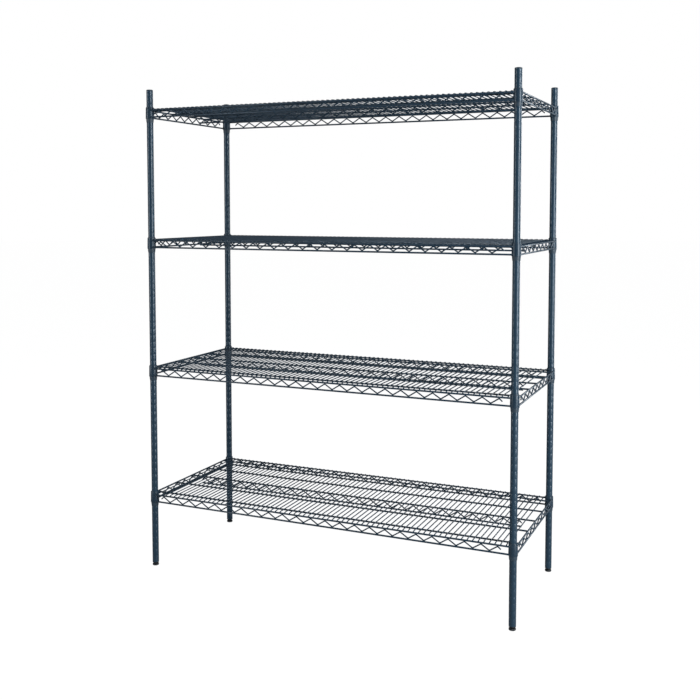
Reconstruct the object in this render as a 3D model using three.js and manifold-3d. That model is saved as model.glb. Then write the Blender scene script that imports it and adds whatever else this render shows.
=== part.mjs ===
// A free-standing wire shelving rack: four grooved posts carry four welded wire
// shelves. Every shelf corner is a tapered collar wedged on a two-piece split sleeve
// that snaps into a groove of its post. Each post stands on a screw-out levelling foot.
// Units are millimetres, +Z is up, X runs along the long side and the front faces -Y.
// The origin is on the floor, at the centre of the rack.
import * as THREE from "three";
import { mergeVertices } from "three/addons/utils/BufferGeometryUtils.js";
import Module from "manifold-3d";

const wasm = await Module();
wasm.setup();

// ---- Driving dimensions ----
const POST_SPAN_X = 1460; // post axis to post axis along the long side
const POST_SPAN_Y = 572; // post axis to post axis from front to back
const GAP = 0.3; // clearance between pieces that touch
const ROUND_SIDES = 12; // facets of every round piece

const POST_RADIUS = 12.7; // one inch tube
const POST_BORE_RADIUS = 11.2;
const POST_BOTTOM = 14;
const POST_TOP = 1889;
const CAP_TOP = 1895;

const GROOVE_PITCH = 25.4; // the posts are grooved every inch
const FIRST_GROOVE = 41.8; // height of the lowest groove
const GROOVE_DEPTH = 0.6;
const GROOVE_HALF_WIDTH = 1.5;

const SHELF_NAMES = ["bottom", "lower", "upper", "top"];
const LOWEST_SHELF_GROOVE = 9; // grooves below the one that holds the bottom shelf
const GROOVES_PER_BAY = 20;

// Shelf heights are measured from the groove that holds the shelf.
const RAIL_THICKNESS = 5.5;
const BOTTOM_RAIL_Z = -7;
const TRUSS_HEIGHT = 27; // bottom rail axis to top rail axis
const TOP_RAIL_Z = BOTTOM_RAIL_Z + TRUSS_HEIGHT;
const RAIL_OFFSET = 11; // rails run this far outside the post axes
const RAIL_REACH = 9; // a rail ends this far from the post axis, inside the collar
const BRACE_WIDTH = 4; // wire of the zigzag between the rails
const LONG_TRUSS_PERIODS = 6;
const SIDE_TRUSS_PERIODS = 2;
const ZIGZAG_START = 50; // first bend of the zigzag, measured from the post axis
const TAIL_REACH = 12; // the zigzag's free ends, beyond the first bend
const TAIL_DROP = 12;

const CROSS_WIRE = 3.5;
const CROSS_WIRE_COUNT = 19;
const CROSS_WIRE_SPAN = 1418.4; // first cross wire to last
const LONG_WIRE_OFFSETS = [-253, -118, 118, 253]; // the centre truss is between them
const CENTRE_BOTTOM_WIRE_HALF = 690; // it ends short of the side trusses

const COLLAR_TOP = 30.6;
const COLLAR_BOTTOM = -12.4;
const COLLAR_TOP_RADIUS = 15.7;
const COLLAR_BOTTOM_RADIUS = 16.5;
const COLLAR_BORE_TOP_RADIUS = 14.2;
const COLLAR_BORE_BOTTOM_RADIUS = 15;
const BORE_OVERRUN = 1;

const SLEEVE_TOP = 32.6;
const SLEEVE_BOTTOM = -27.4;
const SLEEVE_SHOULDER = -16; // below this the sleeve tapers in to the post
const SLEEVE_TIP_RADIUS = 13.6;
const SLEEVE_BORE_RADIUS = POST_RADIUS + GAP + 0.05;
const BEAD_RADIUS = 12.5;
const BEAD_HALF_WIDTH = 1;

const CAP_PLUG_RADIUS = 10.8;
const CAP_PLUG_BORE_RADIUS = 9;
const CAP_PLUG_DEPTH = 20;
const CAP_PLUG_FLOOR = 1; // the plug is hollow up to this far below the cap
const CAP_EDGE_WIDTH = 2.5; // the bevel round the top of the cap
const CAP_EDGE_HEIGHT = 2.2;
const CAP_CROWN = 0.8; // rise of the cap's top inside the bevel

const PAD_RADIUS = 12.5;
const PAD_HEIGHT = 7;
const PAD_SOLE_BEVEL = 1.5;
const PAD_TOP_BEVEL = 1;
const SOCKET_FLOOR = 3; // thickness of the pad under the stem
const SOCKET_RADIUS = 4.4;
const STEM_PIVOT_RADIUS = 4;
const STEM_RADIUS = 3.9; // 5/16 inch screw
const STEM_TOP = 48;
const STEM_TIP_BEVEL = 1;
const HEX_SIDES = 6;
const HEX_ACROSS_CORNERS = 18;
const HEX_TOP = 11.4;
const INSERT_FLANGE_RADIUS = 12.4;
const INSERT_RADIUS = 10.8;
const INSERT_BORE_RADIUS = 4.3;
const INSERT_TOP = 38;

const COATED_STEEL = { color: 0x22374a, roughness: 0.35, metalness: 0.3 };
const CAP_PLASTIC = { color: 0x1c2b38, roughness: 0.5, metalness: 0 };
const SLEEVE_PLASTIC = { color: 0x16181b, roughness: 0.6, metalness: 0 };
const BLACKENED_STEEL = { color: 0x2a2c2e, roughness: 0.4, metalness: 0.9 };

const CORNERS = [
  { name: "front_left", x: -POST_SPAN_X / 2, y: -POST_SPAN_Y / 2 },
  { name: "front_right", x: POST_SPAN_X / 2, y: -POST_SPAN_Y / 2 },
  { name: "back_left", x: -POST_SPAN_X / 2, y: POST_SPAN_Y / 2 },
  { name: "back_right", x: POST_SPAN_X / 2, y: POST_SPAN_Y / 2 },
];

// ---- Geometry helpers ----

// A closed geometry as a manifold-3d solid.
function toSolid(geometry) {
  const bare = geometry.clone();
  bare.deleteAttribute("normal");
  bare.deleteAttribute("uv");
  const merged = mergeVertices(bare, 1e-3);
  const mesh = new wasm.Mesh({
    numProp: 3,
    vertProperties: merged.attributes.position.array,
    triVerts: new Uint32Array(merged.index.array),
  });
  return new wasm.Manifold(mesh);
}

function toGeometry(solid) {
  const mesh = solid.getMesh();
  const geometry = new THREE.BufferGeometry();
  geometry.setAttribute("position", new THREE.BufferAttribute(mesh.vertProperties, 3));
  geometry.setIndex(new THREE.BufferAttribute(mesh.triVerts, 1));
  geometry.computeVertexNormals();
  return geometry;
}

const joined = (solids) => solids.reduce((whole, piece) => whole.add(piece));

// Turns an outline of [radius, height] points about the Z axis. The points run
// upwards on the outside; a tube's outline closes on its first point.
function revolve(outline, sides = ROUND_SIDES) {
  const points = outline.map(([radius, height]) => new THREE.Vector2(radius, height));
  return new THREE.LatheGeometry(points, sides).rotateX(Math.PI / 2);
}

function box(sizeX, sizeY, sizeZ, x, y, z) {
  return new THREE.BoxGeometry(sizeX, sizeY, sizeZ).translate(x, y, z);
}

const railSolid = (halfLength, z) =>
  toSolid(box(2 * halfLength, RAIL_THICKNESS, RAIL_THICKNESS, 0, 0, z));

// Two rails with a zigzag brace between them, lying along X and centred on y = 0.
// The zigzag's outermost bends are on the top rail at +-zigzagHalf, and its two ends
// are short tails that hang free beyond them.
function trussSolid(topHalf, bottomHalf, zigzagHalf, periods) {
  const rails = [railSolid(bottomHalf, BOTTOM_RAIL_Z), railSolid(topHalf, TOP_RAIL_Z)];
  const halfPeriod = zigzagHalf / periods;
  const rise = BRACE_WIDTH / 2 / Math.cos(Math.atan2(TRUSS_HEIGHT, halfPeriod));
  const bends = [[-zigzagHalf - TAIL_REACH, TOP_RAIL_Z - TAIL_DROP]];
  for (let bend = 0; bend <= 2 * periods; bend += 1) {
    const z = bend % 2 ? BOTTOM_RAIL_Z : TOP_RAIL_Z;
    bends.push([-zigzagHalf + bend * halfPeriod, z]);
  }
  bends.push([zigzagHalf + TAIL_REACH, TOP_RAIL_Z - TAIL_DROP]);
  const upperEdge = bends.map(([x, z]) => new THREE.Vector2(x, z + rise));
  const lowerEdge = bends.map(([x, z]) => new THREE.Vector2(x, z - rise)).reverse();
  const zigzag = new THREE.ExtrudeGeometry(
    new THREE.Shape([...upperEdge, ...lowerEdge]),
    { depth: BRACE_WIDTH, bevelEnabled: false },
  );
  zigzag.rotateX(Math.PI / 2).translate(0, BRACE_WIDTH / 2, 0);
  return joined([...rails, toSolid(zigzag)]);
}

// ---- Sub-parts ----

function postGeometry() {
  const outline = [
    [POST_BORE_RADIUS, POST_BOTTOM],
    [POST_RADIUS, POST_BOTTOM],
  ];
  for (let level = 0; level < SHELF_NAMES.length; level += 1) {
    const height = shelfHeight(level);
    outline.push([POST_RADIUS, height - GROOVE_HALF_WIDTH]);
    outline.push([POST_RADIUS - GROOVE_DEPTH, height]);
    outline.push([POST_RADIUS, height + GROOVE_HALF_WIDTH]);
  }
  outline.push([POST_RADIUS, POST_TOP], [POST_BORE_RADIUS, POST_TOP]);
  outline.push([POST_BORE_RADIUS, POST_BOTTOM]);
  return revolve(outline);
}

function postCapGeometry() {
  const seat = POST_TOP + GAP;
  const plugBottom = seat - CAP_PLUG_DEPTH;
  return revolve([
    [0, seat - CAP_PLUG_FLOOR],
    [CAP_PLUG_BORE_RADIUS, seat - CAP_PLUG_FLOOR],
    [CAP_PLUG_BORE_RADIUS, plugBottom],
    [CAP_PLUG_RADIUS, plugBottom],
    [CAP_PLUG_RADIUS, seat],
    [POST_RADIUS, seat],
    [POST_RADIUS, CAP_TOP - CAP_CROWN - CAP_EDGE_HEIGHT],
    [POST_RADIUS - CAP_EDGE_WIDTH, CAP_TOP - CAP_CROWN],
    [0, CAP_TOP],
  ]);
}

// The threaded insert pressed into the lower end of a post.
function insertGeometry() {
  const seat = POST_BOTTOM - GAP;
  return revolve([
    [INSERT_BORE_RADIUS, HEX_TOP + GAP],
    [INSERT_FLANGE_RADIUS, HEX_TOP + GAP],
    [INSERT_FLANGE_RADIUS, seat],
    [INSERT_RADIUS, seat],
    [INSERT_RADIUS, INSERT_TOP],
    [INSERT_BORE_RADIUS, INSERT_TOP],
    [INSERT_BORE_RADIUS, HEX_TOP + GAP],
  ]);
}

function footPadGeometry() {
  return revolve([
    [0, 0],
    [PAD_RADIUS - PAD_SOLE_BEVEL, 0],
    [PAD_RADIUS, PAD_SOLE_BEVEL],
    [PAD_RADIUS, PAD_HEIGHT - PAD_TOP_BEVEL],
    [PAD_RADIUS - PAD_TOP_BEVEL, PAD_HEIGHT],
    [SOCKET_RADIUS, PAD_HEIGHT],
    [SOCKET_RADIUS, SOCKET_FLOOR],
    [0, SOCKET_FLOOR],
  ]);
}

// Pivot in the pad's socket, hexagon for the spanner, then the screw. The pivot goes
// over into the screw inside the hexagon.
function footStemGeometry() {
  const hexBottom = PAD_HEIGHT + GAP;
  const hexMiddle = (hexBottom + HEX_TOP) / 2;
  const screw = revolve([
    [0, SOCKET_FLOOR + GAP],
    [STEM_PIVOT_RADIUS, SOCKET_FLOOR + GAP],
    [STEM_PIVOT_RADIUS, hexMiddle],
    [STEM_RADIUS, hexMiddle],
    [STEM_RADIUS, STEM_TOP - STEM_TIP_BEVEL],
    [STEM_RADIUS - STEM_TIP_BEVEL, STEM_TOP],
    [0, STEM_TOP],
  ]);
  const hexagon = revolve(
    [
      [0, hexBottom],
      [HEX_ACROSS_CORNERS / 2, hexBottom],
      [HEX_ACROSS_CORNERS / 2, HEX_TOP],
      [0, HEX_TOP],
    ],
    HEX_SIDES,
  );
  return toGeometry(toSolid(screw).add(toSolid(hexagon)));
}

// The half of a split sleeve on the +Y side of its post, with the bead that
// sits in the groove.
function sleeveHalfGeometry() {
  const ring = revolve([
    [SLEEVE_BORE_RADIUS, SLEEVE_BOTTOM],
    [SLEEVE_TIP_RADIUS, SLEEVE_BOTTOM],
    [COLLAR_BORE_BOTTOM_RADIUS - GAP, SLEEVE_SHOULDER],
    [COLLAR_BORE_TOP_RADIUS - GAP, SLEEVE_TOP],
    [SLEEVE_BORE_RADIUS, SLEEVE_TOP],
    [SLEEVE_BORE_RADIUS, BEAD_HALF_WIDTH],
    [BEAD_RADIUS, 0],
    [SLEEVE_BORE_RADIUS, -BEAD_HALF_WIDTH],
    [SLEEVE_BORE_RADIUS, SLEEVE_BOTTOM],
  ]);
  const reach = 2 * COLLAR_BOTTOM_RADIUS;
  const positiveSide = box(reach * 2, reach, reach * 4, 0, reach / 2 + GAP / 2, 0);
  return toGeometry(toSolid(ring).intersect(toSolid(positiveSide)));
}

// The four perimeter trusses and the centre truss, welded to each other and to the
// four tapered corner collars.
function shelfFrameGeometry() {
  const longHalf = POST_SPAN_X / 2 - RAIL_REACH;
  const longZigzag = POST_SPAN_X / 2 - ZIGZAG_START;
  const longTruss = trussSolid(longHalf, longHalf, longZigzag, LONG_TRUSS_PERIODS);
  const sideHalf = POST_SPAN_Y / 2 - RAIL_REACH;
  const sideZigzag = POST_SPAN_Y / 2 - ZIGZAG_START;
  const sideTruss = trussSolid(sideHalf, sideHalf, sideZigzag, SIDE_TRUSS_PERIODS).rotate([
    0, 0, 90,
  ]);
  const railX = POST_SPAN_X / 2 + RAIL_OFFSET;
  const railY = POST_SPAN_Y / 2 + RAIL_OFFSET;
  const centreTruss = trussSolid(
    railX,
    CENTRE_BOTTOM_WIRE_HALF,
    longZigzag,
    LONG_TRUSS_PERIODS,
  );
  const collar = toSolid(
    revolve([
      [0, COLLAR_BOTTOM],
      [COLLAR_BOTTOM_RADIUS, COLLAR_BOTTOM],
      [COLLAR_TOP_RADIUS, COLLAR_TOP],
      [0, COLLAR_TOP],
    ]),
  );
  // The bore is cut past both ends of the collar, at the same slope.
  const slope =
    (COLLAR_BORE_BOTTOM_RADIUS - COLLAR_BORE_TOP_RADIUS) / (COLLAR_TOP - COLLAR_BOTTOM);
  const widening = slope * BORE_OVERRUN;
  const bore = toSolid(
    revolve([
      [0, COLLAR_BOTTOM - BORE_OVERRUN],
      [COLLAR_BORE_BOTTOM_RADIUS + widening, COLLAR_BOTTOM - BORE_OVERRUN],
      [COLLAR_BORE_TOP_RADIUS - widening, COLLAR_TOP + BORE_OVERRUN],
      [0, COLLAR_TOP + BORE_OVERRUN],
    ]),
  );
  const pieces = [
    longTruss.translate([0, -railY, 0]),
    longTruss.translate([0, railY, 0]),
    sideTruss.translate([-railX, 0, 0]),
    sideTruss.translate([railX, 0, 0]),
    centreTruss,
    ...CORNERS.map(({ x, y }) => collar.translate([x, y, 0])),
  ];
  const bores = CORNERS.map(({ x, y }) => bore.translate([x, y, 0]));
  return toGeometry(bores.reduce((whole, hole) => whole.subtract(hole), joined(pieces)));
}

// Cross wires lying on long wires. The wires clear the frame's rails by the gap.
function shelfDeckGeometry() {
  const wireTop = TOP_RAIL_Z + RAIL_THICKNESS / 2 + GAP;
  const longWireHalf = POST_SPAN_X / 2 + RAIL_OFFSET - RAIL_THICKNESS / 2 - GAP;
  const crossWireLength = POST_SPAN_Y + 2 * RAIL_OFFSET + RAIL_THICKNESS;
  const wires = LONG_WIRE_OFFSETS.map((y) =>
    railSolid(longWireHalf, wireTop - RAIL_THICKNESS / 2).translate([0, y, 0]),
  );
  for (let i = 0; i < CROSS_WIRE_COUNT; i += 1) {
    const x = (i / (CROSS_WIRE_COUNT - 1) - 0.5) * CROSS_WIRE_SPAN;
    const z = wireTop + CROSS_WIRE / 2;
    wires.push(toSolid(box(CROSS_WIRE, crossWireLength, CROSS_WIRE, x, 0, z)));
  }
  return toGeometry(joined(wires));
}

// ---- Assembly ----

// Height of the groove that holds a shelf.
function shelfHeight(level) {
  return FIRST_GROOVE + (LOWEST_SHELF_GROOVE + level * GROOVES_PER_BAY) * GROOVE_PITCH;
}

function named(name, geometry, finish) {
  const mesh = new THREE.Mesh(geometry, new THREE.MeshStandardMaterial(finish));
  mesh.name = name;
  return mesh;
}

const geometries = {
  post: postGeometry(),
  cap: postCapGeometry(),
  insert: insertGeometry(),
  pad: footPadGeometry(),
  stem: footStemGeometry(),
  sleeveHalf: sleeveHalfGeometry(),
  frame: shelfFrameGeometry(),
  deck: shelfDeckGeometry(),
};

// One post with its cap, insert and levelling foot.
function upright(corner) {
  const group = new THREE.Group();
  group.position.set(corner.x, corner.y, 0);
  group.add(
    named(`post_${corner.name}`, geometries.post, COATED_STEEL),
    named(`post_cap_${corner.name}`, geometries.cap, CAP_PLASTIC),
    named(`foot_insert_${corner.name}`, geometries.insert, SLEEVE_PLASTIC),
    named(`foot_stem_${corner.name}`, geometries.stem, BLACKENED_STEEL),
    named(`foot_pad_${corner.name}`, geometries.pad, CAP_PLASTIC),
  );
  return group;
}

// The outer half of a sleeve faces away from the rack, to the front or the back.
function splitSleeve(shelfName, corner) {
  const group = new THREE.Group();
  group.position.set(corner.x, corner.y, 0);
  const stem = `sleeve_${shelfName}_${corner.name}`;
  const backHalf = corner.y > 0 ? "outer" : "inner";
  const frontHalf = corner.y > 0 ? "inner" : "outer";
  const back = named(`${stem}_${backHalf}`, geometries.sleeveHalf, SLEEVE_PLASTIC);
  const front = named(`${stem}_${frontHalf}`, geometries.sleeveHalf, SLEEVE_PLASTIC);
  front.rotation.z = Math.PI;
  group.add(back, front);
  return group;
}

function shelf(level) {
  const name = SHELF_NAMES[level];
  const group = new THREE.Group();
  group.position.z = shelfHeight(level);
  group.add(
    named(`shelf_${name}_frame`, geometries.frame, COATED_STEEL),
    named(`shelf_${name}_deck`, geometries.deck, COATED_STEEL),
    ...CORNERS.map((corner) => splitSleeve(name, corner)),
  );
  return group;
}

const rack = new THREE.Group();
rack.add(...CORNERS.map(upright));
rack.add(...SHELF_NAMES.map((name, level) => shelf(level)));

export default rack;
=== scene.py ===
import math

import bmesh
import bpy
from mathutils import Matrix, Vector


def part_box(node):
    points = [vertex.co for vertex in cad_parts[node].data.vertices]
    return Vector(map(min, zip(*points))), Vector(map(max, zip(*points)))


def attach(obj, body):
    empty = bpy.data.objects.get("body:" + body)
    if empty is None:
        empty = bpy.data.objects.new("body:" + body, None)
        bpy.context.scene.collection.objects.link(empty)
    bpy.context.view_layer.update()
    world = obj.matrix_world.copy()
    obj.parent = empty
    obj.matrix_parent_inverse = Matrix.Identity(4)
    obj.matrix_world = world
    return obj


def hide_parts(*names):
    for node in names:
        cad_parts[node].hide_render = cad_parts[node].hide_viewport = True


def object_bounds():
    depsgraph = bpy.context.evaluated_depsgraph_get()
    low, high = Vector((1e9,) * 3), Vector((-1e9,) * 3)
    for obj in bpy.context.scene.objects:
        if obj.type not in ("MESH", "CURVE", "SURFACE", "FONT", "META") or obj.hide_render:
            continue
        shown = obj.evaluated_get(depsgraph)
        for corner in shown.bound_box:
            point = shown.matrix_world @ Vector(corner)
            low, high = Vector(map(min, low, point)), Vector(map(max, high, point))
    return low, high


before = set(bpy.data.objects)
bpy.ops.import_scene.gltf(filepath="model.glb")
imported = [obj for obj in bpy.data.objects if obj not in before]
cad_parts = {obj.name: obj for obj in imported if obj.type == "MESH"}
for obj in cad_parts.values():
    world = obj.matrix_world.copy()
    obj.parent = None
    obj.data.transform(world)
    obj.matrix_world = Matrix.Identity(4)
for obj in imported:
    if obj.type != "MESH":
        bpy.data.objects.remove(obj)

# The look of a free-standing wire shelving rack, built round its CAD frame.
# Metres, +Z up, +X along the long side, front towards -Y. Lengths below that are
# easier to read in millimetres are written as a number times MM.
MM = 0.001
CAD_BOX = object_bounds()

# ---- Places and sizes taken from the frame ----

CORNERS = ["front_left", "front_right", "back_left", "back_right"]
SHELVES = ["bottom", "lower", "upper", "top"]

POST_LOW, POST_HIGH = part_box("post_back_right")
POST_X = (POST_LOW.x + POST_HIGH.x) / 2
POST_Y = (POST_LOW.y + POST_HIGH.y) / 2
POST_RADIUS = (POST_HIGH.x - POST_LOW.x) / 2
POST_BOTTOM = POST_LOW.z
POST_TOP = POST_HIGH.z
CAP_TOP = CAD_BOX[1].z
STEM_LOW, STEM_HIGH = (end.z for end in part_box("foot_stem_back_right"))
INSERT_LOW, INSERT_HIGH = (end.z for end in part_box("foot_insert_back_right"))
PAD_LOW, PAD_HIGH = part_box("foot_pad_back_right")
PAD_RADIUS = (PAD_HIGH.x - PAD_LOW.x) / 2
PAD_TOP = PAD_HIGH.z

# Shelf heights are measured from the groove that holds the shelf's sleeves.
SLEEVE_BOTTOM = -27.4 * MM


def post_place(corner):
    return Vector((
        POST_X if "right" in corner else -POST_X,
        POST_Y if "back" in corner else -POST_Y,
        0,
    ))


def shelf_height(shelf):
    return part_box(f"sleeve_{shelf}_back_right_outer")[0].z - SLEEVE_BOTTOM


# ---- Driving dimensions of the details ----

GROOVE_PITCH = 25.4 * MM
GROOVE_DEPTH = 0.3 * MM
GROOVE_HALF = 1.6 * MM

RAIL_RADIUS = 3.2 * MM
ZIGZAG_RADIUS = 2.4 * MM
CROSS_RADIUS = 2.1 * MM
BOTTOM_RAIL_Z = -7 * MM
TOP_RAIL_Z = 20 * MM
RAIL_X = POST_X + 11 * MM
RAIL_Y = POST_Y + 11 * MM
CROSS_PITCH = 19.7 * MM
CROSS_COUNT = 73
LONG_WIRE_OFFSETS = [-253 * MM, -118 * MM, 118 * MM, 253 * MM]
CENTRE_WIRE_HALF = 690 * MM
ZIGZAG_PERIOD = 3 * CROSS_PITCH
LONG_ZIGZAG_PERIODS = 23
SIDE_ZIGZAG_PERIODS = 8
WELD_SINK = 0.4 * MM  # how far welded wires melt into each other
TAIL_REACH = 11 * MM  # a zigzag's free end, out from its last bend and down from it
TAIL_DROP = 10 * MM
BEND_RADIUS = 6 * MM

THREAD_PITCH = 1.5875 * MM
HEX_GAP = 0.3 * MM  # between the screw's hexagon and the pad below or the insert above


# ---- Mesh tools ----

MOST_OF_A_SIDE = 0.45  # a rounded corner takes up no more than this share of a side

# How a wire's end rounds off: how far in from the end, in radii, and the share of the
# radius there.
END_ROUNDING = ((0.0, 0.6), (0.1, 0.86), (0.35, 1.0))


def fillet(corners, radius, steps, closed=False):
    """The corner points with each corner rounded. An open path keeps its two ends."""
    points = []
    count = len(corners)
    for i, corner in enumerate(corners):
        if not closed and i in (0, count - 1):
            points.append(corner)
            continue
        to_last = corners[i - 1] - corner
        to_next = corners[(i + 1) % count] - corner
        turn = math.pi - to_last.angle(to_next)
        setback = min(
            radius * math.tan(turn / 2),
            MOST_OF_A_SIDE * to_last.length,
            MOST_OF_A_SIDE * to_next.length,
        )
        start = corner + to_last.normalized() * setback
        end = corner + to_next.normalized() * setback
        for step in range(steps + 1):
            t = step / steps
            points.append(start * (1 - t) ** 2 + corner * 2 * t * (1 - t) + end * t ** 2)
    return points


def outline(points, radius):
    """A closed, rounded outline of (radius, height) points given in millimetres."""
    corners = [Vector((r * MM, z * MM)) for r, z in points]
    return fillet(corners, radius * MM, steps=3, closed=True)


class Surface:
    """The vertices and faces of one piece, made of rings of points."""

    def __init__(self):
        self.vertices = []
        self.faces = []

    def add_rings(self, rings, closed=False):
        """Joins each ring to the next. The last one is joined to the first if closed,
        and otherwise both ends are capped."""
        sides = len(rings[0])
        first = len(self.vertices)
        for ring in rings:
            self.vertices.extend(ring)
        joins = len(rings) if closed else len(rings) - 1
        for i in range(joins):
            low = first + i * sides
            high = first + (i + 1) % len(rings) * sides
            for k in range(sides):
                n = (k + 1) % sides
                self.faces.append((low + k, low + n, high + n, high + k))
        if not closed:
            last = first + (len(rings) - 1) * sides
            self.faces.append(tuple(reversed(range(first, first + sides))))
            self.faces.append(tuple(range(last, last + sides)))

    def add_turned(self, profile, sides=48, closed=False):
        """A profile of (radius, height) points turned about an upright axis."""
        angles = [2 * math.pi * k / sides for k in range(sides)]
        rings = [
            [
                Vector((point[0] * math.cos(a), point[0] * math.sin(a), point[1]))
                for a in angles
            ]
            for point in profile
        ]
        self.add_rings(rings, closed)

    def add_wire(self, path, radius, flat_axis, sides=12):
        """A round wire with softly rounded ends along a path that lies in the plane
        square to flat_axis."""
        flat_axis = Vector(flat_axis)
        directions = [(b - a).normalized() for a, b in zip(path, path[1:])]
        tangents = [directions[0]]
        tangents += [(a + b).normalized() for a, b in zip(directions, directions[1:])]
        tangents.append(directions[-1])
        first, last = tangents[0], tangents[-1]
        stations = [
            (path[0] + first * radius * inset, first, share)
            for inset, share in END_ROUNDING
        ]
        stations += [(path[i], tangents[i], 1.0) for i in range(1, len(path) - 1)]
        stations += [
            (path[-1] - last * radius * inset, last, share)
            for inset, share in reversed(END_ROUNDING)
        ]
        rings = []
        for place, tangent, share in stations:
            across = tangent.cross(flat_axis).normalized()
            rings.append([
                place
                + (flat_axis * math.cos(2 * math.pi * k / sides)
                   + across * math.sin(2 * math.pi * k / sides)) * radius * share
                for k in range(sides)
            ])
        self.add_rings(rings)

    def add_bead(self, centre, size, sides=10, rows=5):
        """A small rounded blob of weld, size being its half-lengths along x, y and z."""
        rings = []
        for row in range(rows):
            tilt = math.pi * (row + 0.5) / rows
            rings.append([
                Vector(centre) + Vector((
                    size[0] * math.sin(tilt) * math.cos(2 * math.pi * k / sides),
                    size[1] * math.sin(tilt) * math.sin(2 * math.pi * k / sides),
                    -size[2] * math.cos(tilt),
                ))
                for k in range(sides)
            ])
        self.add_rings(rings)

    def mesh(self, name, sharp_degrees=40):
        """The finished mesh, facing out and smooth except at sharp corners."""
        made = bpy.data.meshes.new(name)
        made.from_pydata([tuple(v) for v in self.vertices], [], self.faces)
        work = bmesh.new()
        work.from_mesh(made)
        bmesh.ops.recalc_face_normals(work, faces=work.faces)
        work.to_mesh(made)
        work.free()
        made.polygons.foreach_set("use_smooth", [True] * len(made.polygons))
        made.set_sharp_from_angle(angle=math.radians(sharp_degrees))
        return made


def place_piece(name, mesh, material, body, nodes, at, turn=0.0):
    """Shows a mesh as one piece of a body, standing for the CAD nodes it replaces."""
    piece = bpy.data.objects.new(name, mesh)
    bpy.context.scene.collection.objects.link(piece)
    if not mesh.materials:
        mesh.materials.append(material)
    piece.location = at
    piece.rotation_euler.z = turn
    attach(piece, body)
    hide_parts(*nodes)


# ---- Materials ----

class Nodes:
    """A new material's node tree, with short calls for the nodes used here."""

    def __init__(self, name):
        self.material = bpy.data.materials.new(name)
        self.material.use_nodes = True
        self.tree = self.material.node_tree
        self.shader = self.tree.nodes["Principled BSDF"]
        self.place = self.add("ShaderNodeTexCoord").outputs["Object"]

    def add(self, kind, **settings):
        node = self.tree.nodes.new(kind)
        for key, value in settings.items():
            setattr(node, key, value)
        return node

    def link(self, source, target):
        self.tree.links.new(source, target)

    def noise(self, scale, detail, stretch=(1, 1, 1)):
        """Noise of about one feature every 1 / scale metres."""
        mapping = self.add("ShaderNodeMapping")
        mapping.inputs["Scale"].default_value = stretch
        self.link(self.place, mapping.inputs["Vector"])
        noise = self.add("ShaderNodeTexNoise")
        noise.inputs["Scale"].default_value = scale
        noise.inputs["Detail"].default_value = detail
        self.link(mapping.outputs["Vector"], noise.inputs["Vector"])
        return noise.outputs["Fac"]

    def ramp(self, factor, low, high, dark, light):
        """Turns a factor between low and high into a mix of two values or colours."""
        ramp = self.add("ShaderNodeValToRGB")
        ramp.color_ramp.elements[0].position = low
        ramp.color_ramp.elements[1].position = high
        ramp.color_ramp.elements[0].color = grey_or_colour(dark)
        ramp.color_ramp.elements[1].color = grey_or_colour(light)
        self.link(factor, ramp.inputs["Fac"])
        return ramp.outputs["Color"]

    def product(self, first, second):
        """One colour times another. Inputs 6 and 7 and output 2 are the node's colours."""
        mix = self.add("ShaderNodeMix", data_type="RGBA", blend_type="MULTIPLY")
        mix.inputs["Factor"].default_value = 1.0
        self.link(first, mix.inputs[6])
        self.link(second, mix.inputs[7])
        return mix.outputs[2]

    def bump(self, height, distance, strength, under=None):
        bump = self.add("ShaderNodeBump")
        bump.inputs["Strength"].default_value = strength
        bump.inputs["Distance"].default_value = distance
        self.link(height, bump.inputs["Height"])
        if under is not None:
            self.link(under, bump.inputs["Normal"])
        return bump.outputs["Normal"]


def grey_or_colour(value):
    return (*value, 1) if isinstance(value, tuple) else (value, value, value, 1)


def coated_steel(name, dark, light, rough_low, rough_high):
    """Epoxy powder coat: a faint orange peel, small shifts in tone and in gloss."""
    nodes = Nodes(name)
    tone = nodes.ramp(nodes.noise(7, 4), 0.35, 0.65, dark, light)
    speck = nodes.ramp(nodes.noise(2600, 1), 0.35, 0.75, 0.92, 1.0)
    colour = nodes.product(tone, speck)
    nodes.link(colour, nodes.shader.inputs["Base Color"])
    gloss = nodes.ramp(nodes.noise(45, 4), 0.3, 0.7, rough_low, rough_high)
    nodes.link(gloss, nodes.shader.inputs["Roughness"])
    waves = nodes.bump(nodes.noise(160, 2), 0.03 * MM, 0.25)
    peel = nodes.bump(nodes.noise(750, 2), 0.01 * MM, 0.3, under=waves)
    nodes.link(peel, nodes.shader.inputs["Normal"])
    nodes.shader.inputs["Metallic"].default_value = 0.0
    nodes.shader.inputs["Specular IOR Level"].default_value = 0.4
    nodes.shader.inputs["Specular Tint"].default_value = (0.84, 0.92, 1, 1)
    nodes.shader.inputs["Coat Weight"].default_value = 0.04
    nodes.shader.inputs["Coat Roughness"].default_value = 0.25
    return nodes.material


def moulded_plastic(name, dark, light, roughness):
    """Matt injection-moulded plastic with a fine spark-eroded grain."""
    nodes = Nodes(name)
    tone = nodes.ramp(nodes.noise(60, 3), 0.35, 0.65, dark, light)
    nodes.link(tone, nodes.shader.inputs["Base Color"])
    spread = 0.06  # of the roughness, to either side
    gloss = nodes.ramp(
        nodes.noise(300, 3), 0.3, 0.7, roughness - spread, roughness + spread
    )
    nodes.link(gloss, nodes.shader.inputs["Roughness"])
    grain = nodes.bump(nodes.noise(3500, 2), 0.02 * MM, 0.7)
    nodes.link(grain, nodes.shader.inputs["Normal"])
    return nodes.material


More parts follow.
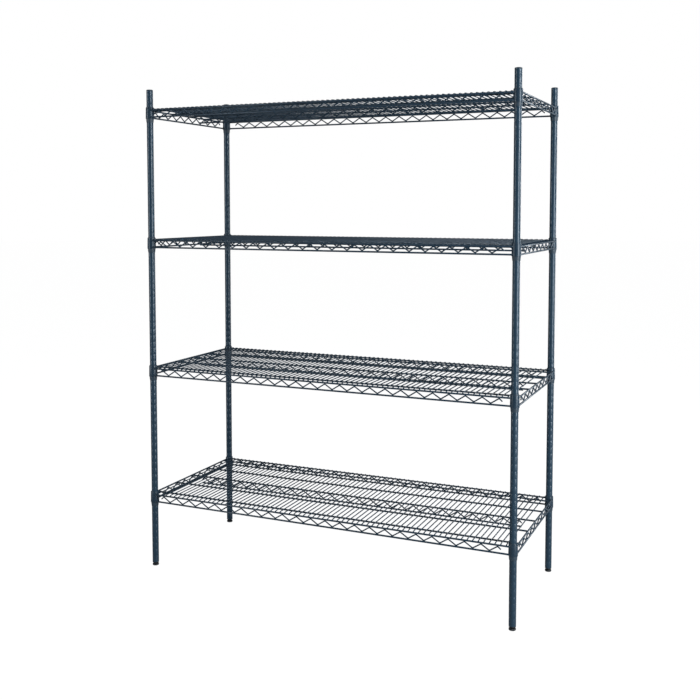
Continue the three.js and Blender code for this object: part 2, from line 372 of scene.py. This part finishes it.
def blackened_steel(name):
    """Black oxide on a turned screw: fine turning marks and small random shifts in tone."""
    nodes = Nodes(name)
    tone = nodes.ramp(
        nodes.noise(130, 4), 0.3, 0.7, (0.014, 0.015, 0.017), (0.03, 0.031, 0.033)
    )
    nodes.link(tone, nodes.shader.inputs["Base Color"])
    gloss = nodes.ramp(nodes.noise(400, 4), 0.3, 0.7, 0.34, 0.5)
    nodes.link(gloss, nodes.shader.inputs["Roughness"])
    marks = nodes.bump(nodes.noise(300, 2, stretch=(1, 1, 14)), 0.02 * MM, 0.5)
    nodes.link(marks, nodes.shader.inputs["Normal"])
    nodes.shader.inputs["Metallic"].default_value = 0.9
    return nodes.material


def pale_floor(name):
    """A plain white floor: bright to the eye, with only the faintest contact shadow, and
    pale grey to the light that falls on the rack."""
    nodes = Nodes(name)
    tone = nodes.ramp(nodes.noise(3, 3), 0.3, 0.7, 0.4, 0.42)
    nodes.link(tone, nodes.shader.inputs["Base Color"])
    nodes.shader.inputs["Roughness"].default_value = 0.9
    nodes.shader.inputs["Specular IOR Level"].default_value = 0.0
    seen_tone = nodes.add("ShaderNodeBsdfDiffuse")
    seen_tone.inputs["Color"].default_value = (0.06, 0.06, 0.06, 1)
    glow = nodes.add("ShaderNodeEmission")
    glow.inputs["Strength"].default_value = FLOOR_GLOW
    seen = nodes.add("ShaderNodeAddShader")
    nodes.link(seen_tone.outputs[0], seen.inputs[0])
    nodes.link(glow.outputs[0], seen.inputs[1])
    path = nodes.add("ShaderNodeLightPath")
    choice = nodes.add("ShaderNodeMixShader")
    nodes.link(path.outputs["Is Camera Ray"], choice.inputs[0])
    nodes.link(nodes.shader.outputs[0], choice.inputs[1])
    nodes.link(seen.outputs[0], choice.inputs[2])
    nodes.link(choice.outputs[0], nodes.tree.nodes["Material Output"].inputs["Surface"])
    return nodes.material


POST_COAT = coated_steel(
    "post_coat", (0.012, 0.031, 0.052), (0.015, 0.037, 0.061), 0.28, 0.36
)
WIRE_COAT = coated_steel(
    "wire_coat", (0.010, 0.025, 0.042), (0.013, 0.030, 0.050), 0.34, 0.42
)
CAP_PLASTIC = moulded_plastic(
    "cap_plastic", (0.012, 0.028, 0.046), (0.016, 0.034, 0.054), 0.5
)
SLEEVE_PLASTIC = moulded_plastic(
    "sleeve_plastic", (0.012, 0.027, 0.044), (0.015, 0.033, 0.052), 0.52
)
PAD_PLASTIC = moulded_plastic(
    "pad_plastic", (0.006, 0.008, 0.011), (0.01, 0.013, 0.016), 0.6
)
BLACK_STEEL = blackened_steel("black_steel")


# ---- Uprights: posts, caps, inserts and levelling feet ----

def post_mesh():
    """A tube with a shallow rolled groove every inch, lined up with the sleeves' beads."""
    wall = 1.4 * MM
    edge = 0.4 * MM
    lowest = shelf_height(SHELVES[0])
    while lowest - GROOVE_PITCH > POST_BOTTOM + GROOVE_PITCH / 2:
        lowest -= GROOVE_PITCH
    outside = [(POST_RADIUS - edge, POST_BOTTOM), (POST_RADIUS, POST_BOTTOM + edge)]
    height = lowest
    while height < POST_TOP - GROOVE_HALF * 2:
        for share, depth in ((-1, 0), (-0.55, 0.6), (0, 1), (0.55, 0.6), (1, 0)):
            radius = POST_RADIUS - GROOVE_DEPTH * depth
            outside.append((radius, height + GROOVE_HALF * share))
        height += GROOVE_PITCH
    outside += [(POST_RADIUS, POST_TOP - edge), (POST_RADIUS - edge, POST_TOP)]
    inside = [(POST_RADIUS - wall, POST_TOP), (POST_RADIUS - wall, POST_BOTTOM)]
    surface = Surface()
    surface.add_turned(outside + inside, sides=48, closed=True)
    return surface.mesh("grooved_post")


def cap_mesh():
    """A push-in cap: a low dome over a thin rim, and a hollow plug with three ribs."""
    seat = POST_TOP / MM + 0.3
    top = CAP_TOP / MM
    radius = POST_RADIUS / MM
    dome = [
        (radius * math.sin(t), top - 3.2 + 3.2 * math.cos(t) ** 0.8)
        for t in (math.radians(angle) for angle in (78, 66, 54, 42, 30, 18, 6))
    ]
    profile = [
        (9.0, seat - 2), (9.0, seat - 20), (10.5, seat - 20), (10.8, seat - 19),
        (10.8, seat), (radius - 0.25, seat), (radius, seat + 0.25), (radius, top - 3.0),
        *dome,
    ]
    surface = Surface()
    surface.add_turned([(r * MM, z * MM) for r, z in profile], sides=48)
    ribs = 3
    for k in range(ribs):
        angle = 2 * math.pi * k / ribs + 0.5
        place = Vector((10.75 * math.cos(angle), 10.75 * math.sin(angle), 0)) * MM
        path = [place + Vector((0, 0, (seat - depth) * MM)) for depth in (18, 1)]
        surface.add_wire(path, 0.35 * MM, Vector((math.cos(angle), math.sin(angle), 0)), 8)
    return surface.mesh("domed_cap")


def insert_mesh():
    """The threaded insert: a flange under the post's end and a ribbed plug in its bore."""
    low, high = INSERT_LOW / MM, INSERT_HIGH / MM
    profile = outline(
        [(4.3, low), (12.4, low), (12.4, low + 2), (10.3, low + 2), (10.3, high), (4.3, high)],
        0.5,
    )
    surface = Surface()
    surface.add_turned(profile, sides=48, closed=True)
    for depth in range(3):
        height = (low + 7 + 6 * depth) * MM
        ring = [(10.2 * MM, height), (10.8 * MM, height + 1.2 * MM), (10.2 * MM, height + 3 * MM)]
        surface.add_turned([*ring, (9.6 * MM, height + 1.5 * MM)], sides=48, closed=True)
    return surface.mesh("threaded_insert")


def screw_mesh():
    """The levelling screw: a pivot, a chamfered hexagon and a rolled right-hand thread."""
    sides = 48
    surface = Surface()
    hexagon_half = 7.8 * MM  # half the distance across the flats
    corner, face = 9.1, 7.7  # the turned chamfer's radius at the sides and at the ends
    chamfer = 0.8 * MM
    low = PAD_TOP + HEX_GAP
    high = INSERT_LOW - HEX_GAP
    rings = []
    for height, cone in (
        (low, face), (low + chamfer, corner), (high - chamfer, corner), (high, face),
    ):
        ring = []
        for k in range(sides):
            angle = 2 * math.pi * k / sides
            from_flat = (angle + math.pi / 6) % (math.pi / 3) - math.pi / 6
            radius = min(hexagon_half / math.cos(from_flat), cone * MM)
            ring.append(Vector((radius * math.cos(angle), radius * math.sin(angle), height)))
        rings.append(ring)
    surface.add_rings(rings)
    pivot = [(3.2, STEM_LOW / MM), (4.0, STEM_LOW / MM + 0.8), (4.0, low / MM + 1)]
    surface.add_turned([(r * MM, z * MM) for r, z in pivot], sides=32)
    crest, root = 3.9 * MM, 3.15 * MM
    point = 1.2 * MM  # the length over which the end tapers
    thread_sides = 32
    rows_a_turn = 8
    start, end = high - 0.5 * MM, STEM_HIGH
    rows = int((end - start) / (THREAD_PITCH / rows_a_turn))
    thread = []
    for row in range(rows + 1):
        height = start + (end - start) * row / rows
        from_end = min(1.0, (end - height) / point)
        ring = []
        for k in range(thread_sides):
            angle = 2 * math.pi * k / thread_sides
            turn = (height / THREAD_PITCH - k / thread_sides) % 1
            rise = 1 - min(1.0, abs(turn - 0.5) * 2.4)
            radius = (root + (crest - root) * rise) * (0.75 + 0.25 * from_end)
            ring.append(Vector((radius * math.cos(angle), radius * math.sin(angle), height)))
        thread.append(ring)
    surface.add_rings(thread)
    return surface.mesh("levelling_screw", sharp_degrees=35)


def pad_mesh():
    """The foot pad: a rounded disc with grip notches round its edge and a flat sole."""
    sides = 96
    notches = 16
    notch_depth = 0.45 * MM
    top = PAD_TOP
    edge = PAD_RADIUS
    profile = [
        (0.5 * MM, 0), (edge - 1.6 * MM, 0), (edge - 0.7 * MM, 0.4 * MM),
        (edge - 0.15 * MM, 1.2 * MM), (edge, 2.2 * MM), (edge, top - 2 * MM),
        (edge - 0.3 * MM, top - 0.9 * MM), (edge - 1.2 * MM, top - 0.2 * MM),
        (edge - 2.2 * MM, top), (4.9 * MM, top), (4.4 * MM, top - 0.4 * MM),
        (4.4 * MM, 3 * MM), (0.5 * MM, 3 * MM),
    ]
    rings = []
    for radius, height in profile:
        is_rim = radius > edge - 0.5 * MM
        ring = []
        for k in range(sides):
            angle = 2 * math.pi * k / sides
            notch = notch_depth * max(0.0, math.cos(notches * angle)) ** 4 if is_rim else 0
            reach = radius - notch
            ring.append(Vector((reach * math.cos(angle), reach * math.sin(angle), height)))
        rings.append(ring)
    surface = Surface()
    surface.add_rings(rings)
    return surface.mesh("levelling_pad")


def build_uprights():
    meshes = {
        "post": post_mesh(), "cap": cap_mesh(), "insert": insert_mesh(),
        "screw": screw_mesh(), "pad": pad_mesh(),
    }
    for corner in CORNERS:
        at = post_place(corner)
        place_piece(f"grooved_post_{corner}", meshes["post"], POST_COAT, "uprights",
                    [f"post_{corner}"], at)
        place_piece(f"domed_cap_{corner}", meshes["cap"], CAP_PLASTIC, "uprights",
                    [f"post_cap_{corner}"], at)
        place_piece(f"threaded_insert_{corner}", meshes["insert"], PAD_PLASTIC, "uprights",
                    [f"foot_insert_{corner}"], at)
        place_piece(f"levelling_screw_{corner}", meshes["screw"], BLACK_STEEL, f"screw_{corner}",
                    [f"foot_stem_{corner}"], at)
        place_piece(f"levelling_pad_{corner}", meshes["pad"], PAD_PLASTIC, f"foot_{corner}",
                    [f"foot_pad_{corner}"], at)


# ---- Split sleeves ----

def sleeve_mesh():
    """The +Y half of a split sleeve: tapered outside, with the bead that snaps into a
    groove."""
    bottom, shoulder, top = SLEEVE_BOTTOM / MM, -16.0, 32.6
    bore, bead = 13.05, 12.5
    section = outline(
        [
            (bore, bottom), (13.6, bottom), (14.7, shoulder), (13.9, top), (bore, top),
            (bore, 1.3), (bead, 0.5), (bead, -0.5), (bore, -1.3),
        ],
        0.22,
    )
    steps = 24
    split = math.asin(0.15 / 13.0)  # 0.15 mm is half the gap between the two halves
    rings = []
    for step in range(steps + 1):
        angle = split + (math.pi - 2 * split) * step / steps
        rings.append([
            Vector((point[0] * math.cos(angle), point[0] * math.sin(angle), point[1]))
            for point in section
        ])
    surface = Surface()
    surface.add_rings(rings)
    return surface.mesh("split_sleeve")


def build_sleeves():
    mesh = sleeve_mesh()
    for shelf in SHELVES:
        for corner in CORNERS:
            at = post_place(corner) + Vector((0, 0, shelf_height(shelf)))
            for half in ("outer", "inner"):
                faces_back = (half == "outer") == ("back" in corner)
                node = f"sleeve_{shelf}_{corner}_{half}"
                place_piece(f"split_{node}", mesh, SLEEVE_PLASTIC, "uprights",
                            [node], at, 0.0 if faces_back else math.pi)


# ---- Shelves ----

def zigzag_path(half_length, periods):
    """The bent wire between two rails, in the XZ plane, with its free tails."""
    gap = RAIL_RADIUS + ZIGZAG_RADIUS - WELD_SINK
    overshoot = 1.1 * MM  # a rounded bend stops this short of its corner
    high = TOP_RAIL_Z - gap + overshoot
    low = BOTTOM_RAIL_Z + gap - overshoot
    corners = [Vector((-half_length - TAIL_REACH, 0, high - TAIL_DROP))]
    for bend in range(2 * periods + 1):
        x = -half_length + bend * half_length / periods
        corners.append(Vector((x, 0, low if bend % 2 else high)))
    corners.append(Vector((half_length + TAIL_REACH, 0, high - TAIL_DROP)))
    return fillet(corners, BEND_RADIUS, steps=5)


def truss_pieces(surface, half_rail, half_bottom, periods, offset, along_y=False):
    """Adds two rails, the zigzag between them and its welds to a surface."""
    half_zigzag = periods * ZIGZAG_PERIOD / 2
    along, across, upright = 2.6 * MM, 1.5 * MM, 0.8 * MM  # half-lengths of a weld

    def put(x, z):
        return Vector((offset, x, z)) if along_y else Vector((x, offset, z))

    flat = (1, 0, 0) if along_y else (0, 1, 0)
    for half, height in ((half_rail, TOP_RAIL_Z), (half_bottom, BOTTOM_RAIL_Z)):
        surface.add_wire([put(-half, height), put(half, height)], RAIL_RADIUS, flat, 16)
    path = [put(point.x, point.z) for point in zigzag_path(half_zigzag, periods)]
    surface.add_wire(path, ZIGZAG_RADIUS, flat)
    for bend in range(2 * periods + 1):
        place = -half_zigzag + bend * ZIGZAG_PERIOD / 2
        height = BOTTOM_RAIL_Z + RAIL_RADIUS if bend % 2 else TOP_RAIL_Z - RAIL_RADIUS
        size = (across, along, upright) if along_y else (along, across, upright)
        surface.add_bead(put(place, height), size)


def shelf_frame_mesh():
    """The perimeter trusses and the centre truss, with their welds."""
    surface = Surface()
    collar_reach = 11 * MM  # a rail ends this far from the post's axis
    for side in (-1, 1):
        half = POST_X - collar_reach
        truss_pieces(surface, half, half, LONG_ZIGZAG_PERIODS, side * RAIL_Y)
        half = POST_Y - collar_reach
        truss_pieces(surface, half, half, SIDE_ZIGZAG_PERIODS, side * RAIL_X, along_y=True)
    truss_pieces(surface, RAIL_X - WELD_SINK, CENTRE_WIRE_HALF, LONG_ZIGZAG_PERIODS, 0.0)
    return surface.mesh("edge_and_centre_trusses")


def collar_mesh():
    """A tapered corner collar with rolled edges, its seam weld and the rail welds.
    Its rack side is towards -X and -Y, as on the back right corner."""
    surface = Surface()
    bottom, top = -12.4, 30.6
    profile = outline([(15.0, bottom), (16.5, bottom), (15.7, top), (14.2, top)], 0.55)
    surface.add_turned(profile, sides=64, closed=True)
    seam = math.radians(225)
    path = [
        Vector((radius * math.cos(seam), radius * math.sin(seam), height)) * MM
        for radius, height in ((16.1, -10.8), (15.4, 29))
    ]
    surface.add_wire(path, 0.9 * MM, Vector((math.cos(seam), math.sin(seam), 0)), 10)
    offset = RAIL_X - POST_X
    weld_place = -11.6 * MM
    along, across, upright = 2.4 * MM, 3.2 * MM, 3.4 * MM
    for height in (BOTTOM_RAIL_Z, TOP_RAIL_Z):
        surface.add_bead((weld_place, offset, height), (along, across, upright))
        surface.add_bead((offset, weld_place, height), (across, along, upright))
    return surface.mesh("corner_collar")


def deck_meshes():
    """The long wires, and the cross wires that lie on them."""
    long_wires = Surface()
    half = RAIL_X - WELD_SINK
    for y in LONG_WIRE_OFFSETS:
        path = [Vector((-half, y, TOP_RAIL_Z)), Vector((half, y, TOP_RAIL_Z))]
        long_wires.add_wire(path, RAIL_RADIUS, (0, 1, 0), 16)
    cross_wires = Surface()
    height = TOP_RAIL_Z + RAIL_RADIUS + CROSS_RADIUS - WELD_SINK
    reach = RAIL_Y + 0.8 * MM
    pressed = 1.6 * MM  # the ends are pressed down into the rails as they are welded
    bend = 12 * MM  # the length of an end over which it is pressed
    for i in range(CROSS_COUNT):
        x = (i - (CROSS_COUNT - 1) / 2) * CROSS_PITCH
        places = (
            (-reach, height - pressed), (-reach + bend, height),
            (reach - bend, height), (reach, height - pressed),
        )
        path = [Vector((x, y, z)) for y, z in places]
        cross_wires.add_wire(path, CROSS_RADIUS, (1, 0, 0))
    return long_wires.mesh("long_wires"), cross_wires.mesh("cross_wires")


def build_shelves():
    trusses, collar = shelf_frame_mesh(), collar_mesh()
    long_wires, cross_wires = deck_meshes()
    for shelf in SHELVES:
        body = f"shelf_{shelf}"
        frame_node, deck_node = f"{body}_frame", f"{body}_deck"
        height = Vector((0, 0, shelf_height(shelf)))
        place_piece(f"{body}_trusses", trusses, WIRE_COAT, body,
                    [frame_node], height)
        place_piece(f"{body}_long_wires", long_wires, WIRE_COAT, body,
                    [deck_node], height)
        place_piece(f"{body}_cross_wires", cross_wires, WIRE_COAT, body,
                    [deck_node], height)
        # The collar is symmetric about its own diagonal, so a quarter turn suits each corner.
        quarter_turns = {"back_right": 0, "back_left": 1, "front_left": 2, "front_right": 3}
        for corner in CORNERS:
            place_piece(f"{body}_collar_{corner}", collar, WIRE_COAT, body,
                        [frame_node], post_place(corner) + height,
                        quarter_turns[corner] * math.pi / 2)


# ---- Stage: floor, light and camera ----

FLOOR_RADIUS = 40
FLOOR_GLOW = 0.985  # brings the floor to the white of the backdrop
LAMP_COLOUR = (0.92, 0.97, 1.0)
ROOM_STRENGTH = 0.17
EYE = (1.494, -3.378, 1.434)
LOOKS_DOWN, TURNED_LEFT = 3.635, 23.874  # degrees
FOCAL_LENGTH = 48.626  # millimetres, on a sensor 36 mm wide
LENS_SHIFT = -0.1171


def build_floor():
    bpy.ops.mesh.primitive_circle_add(vertices=96, radius=FLOOR_RADIUS, fill_type="NGON")
    floor = bpy.context.object
    floor.name = "floor"
    floor.data.materials.append(pale_floor("pale_floor"))


def add_area_light(name, place, target, width, height, watts):
    data = bpy.data.lights.new(name, "AREA")
    data.shape = "RECTANGLE"
    data.size, data.size_y = width, height
    data.energy = watts
    data.color = LAMP_COLOUR
    light = bpy.data.objects.new(name, data)
    light.location = place
    aim = Vector(target) - Vector(place)
    light.rotation_euler = aim.to_track_quat("-Z", "Y").to_euler()
    bpy.context.scene.collection.objects.link(light)


def build_lights():
    """Soft boxes over a dim room, with a white backdrop behind everything."""
    middle = (0, 0, CAP_TOP / 2)
    add_area_light("key_right", (4.0, -1.6, 1.5), middle, 0.4, 3.2, 230)
    add_area_light("fill_left", (-3.2, -3.3, 1.5), middle, 0.6, 3.0, 85)
    add_area_light("rear_right", (2.8, 3.1, 1.6), middle, 0.5, 2.8, 75)
    add_area_light("overhead", (0, -0.5, 5.0), (0, 0, 0), 4.0, 4.0, 60)
    world = bpy.data.worlds.new("studio")
    bpy.context.scene.world = world
    world.use_nodes = True
    nodes, links = world.node_tree.nodes, world.node_tree.links
    room = nodes["Background"]
    room.inputs["Color"].default_value = (0.9, 0.95, 1.0, 1)
    room.inputs["Strength"].default_value = ROOM_STRENGTH
    backdrop = nodes.new("ShaderNodeBackground")
    backdrop.inputs["Color"].default_value = (1, 1, 1, 1)
    backdrop.inputs["Strength"].default_value = 1.0
    seen = nodes.new("ShaderNodeLightPath")
    mix = nodes.new("ShaderNodeMixShader")
    links.new(seen.outputs["Is Camera Ray"], mix.inputs["Fac"])
    links.new(room.outputs["Background"], mix.inputs[1])
    links.new(backdrop.outputs["Background"], mix.inputs[2])
    links.new(mix.outputs["Shader"], nodes["World Output"].inputs["Surface"])


def build_camera():
    """A standing viewer's eye to the right of the rack, looking a little down. The lens
    is shifted down, which keeps the posts nearly upright in the picture."""
    data = bpy.data.cameras.new("camera")
    data.sensor_width = 36
    data.lens = FOCAL_LENGTH
    data.shift_y = LENS_SHIFT
    data.clip_end = 200
    camera = bpy.data.objects.new("camera", data)
    camera.location = EYE
    camera.rotation_euler = (math.radians(90 - LOOKS_DOWN), 0, math.radians(TURNED_LEFT))
    bpy.context.scene.collection.objects.link(camera)
    bpy.context.scene.camera = camera
    bpy.context.scene.view_settings.view_transform = "Standard"


build_camera()
build_floor()
build_lights()
build_uprights()
build_sleeves()
build_shelves()
